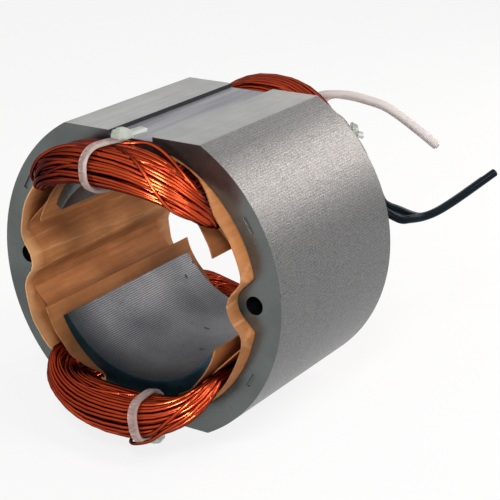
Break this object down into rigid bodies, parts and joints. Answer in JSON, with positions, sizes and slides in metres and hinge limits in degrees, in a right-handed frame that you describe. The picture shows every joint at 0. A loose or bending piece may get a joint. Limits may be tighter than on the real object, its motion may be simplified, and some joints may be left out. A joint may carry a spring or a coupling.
{
  "type": "wound stator",
  "caption": "Two-pole wound field stator: slotted lamination stack with flats, papered slots, enamelled wire coils round the poles, cable ties and flying leads.",
  "frame": {"origin": "on the bore axis, halfway along the lamination stack", "axes": "+Y along the bore axis towards the end with the leads, +Z along the pole axis, X across the two screw holes"},
  "size_m": [0.1011, 0.1218, 0.088],
  "materials": {
    "core_steel": "punched electrical steel, fine sheet edges on the outside, satin ends",
    "slot_paper": "varnished orange-brown insulation paper",
    "strip_paper": "varnished orange-brown insulation paper",
    "enamelled_wire": "glossy copper-red enamel",
    "tie_nylon": "milky natural nylon",
    "sleeve": "woven insulating sleeve, varnished",
    "white_insulation": "smooth lead insulation",
    "black_insulation": "glossy lead insulation"
  },
  "bodies": {
    "root": {"laminated_core": "core_steel", "right_slot_liner": "slot_paper", "left_slot_liner": "slot_paper", "upper_right_closer": "strip_paper", "upper_left_closer": "strip_paper", "lower_right_closer": "strip_paper", "lower_left_closer": "strip_paper", "upper_field_coil": "enamelled_wire", "lower_field_coil": "enamelled_wire", "front_upper_tie": "tie_nylon", "front_lower_tie": "tie_nylon", "rear_upper_tie": "tie_nylon", "rear_lower_tie": "tie_nylon", "white_splice_a": "sleeve", "white_splice_b": "sleeve", "black_splice_a": "sleeve", "black_splice_b": "sleeve", "white_lead_a": "white_insulation", "white_lead_b": "white_insulation", "black_lead_a": "black_insulation", "black_lead_b": "black_insulation"}
  },
  "joints": []
}
